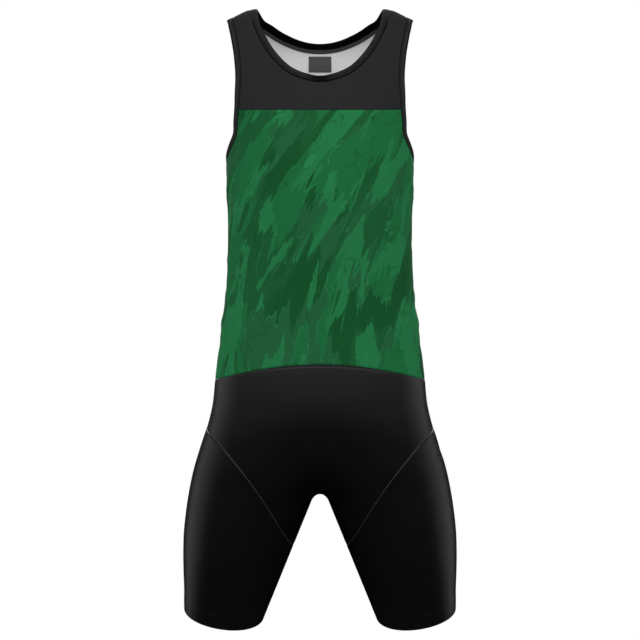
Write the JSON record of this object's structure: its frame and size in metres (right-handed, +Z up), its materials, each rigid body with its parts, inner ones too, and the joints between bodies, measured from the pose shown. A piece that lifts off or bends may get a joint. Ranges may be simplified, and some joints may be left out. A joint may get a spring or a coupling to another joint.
{
  "type": "weightlifting singlet",
  "caption": "Sleeveless one-piece weightlifting suit of stretch knit with short legs, filled out with no wearer and open at neck, armholes and thighs.",
  "frame": {"origin": "midway between the tops of the two shoulder straps, where a wearer's shoulders carry the singlet", "axes": "+Z up along the wearer's height, front facing -Y, wearer's left at +X"},
  "size_m": [0.3968, 0.2302, 0.8891],
  "materials": {
    "black_knit": "matt black polyester knit",
    "green_knit": "matt green printed polyester knit, light inside",
    "black_lycra": "black stretch lycra with a soft sheen",
    "binding_black": "black folded binding",
    "tape_grey": "dark grey woven tape",
    "label_grey": "plain grey woven label"
  },
  "bodies": {
    "root": {"front_yoke": "black_knit", "back_yoke": "black_knit", "front_panel": "green_knit", "back_panel": "green_knit", "shorts_front": "black_lycra", "shorts_seat": "black_lycra", "leg_left": "black_lycra", "leg_right": "black_lycra", "neck_binding": "binding_black", "armhole_binding_left": "binding_black", "armhole_binding_right": "binding_black", "neck_tape": "tape_grey", "neck_label": "label_grey"}
  },
  "joints": []
}
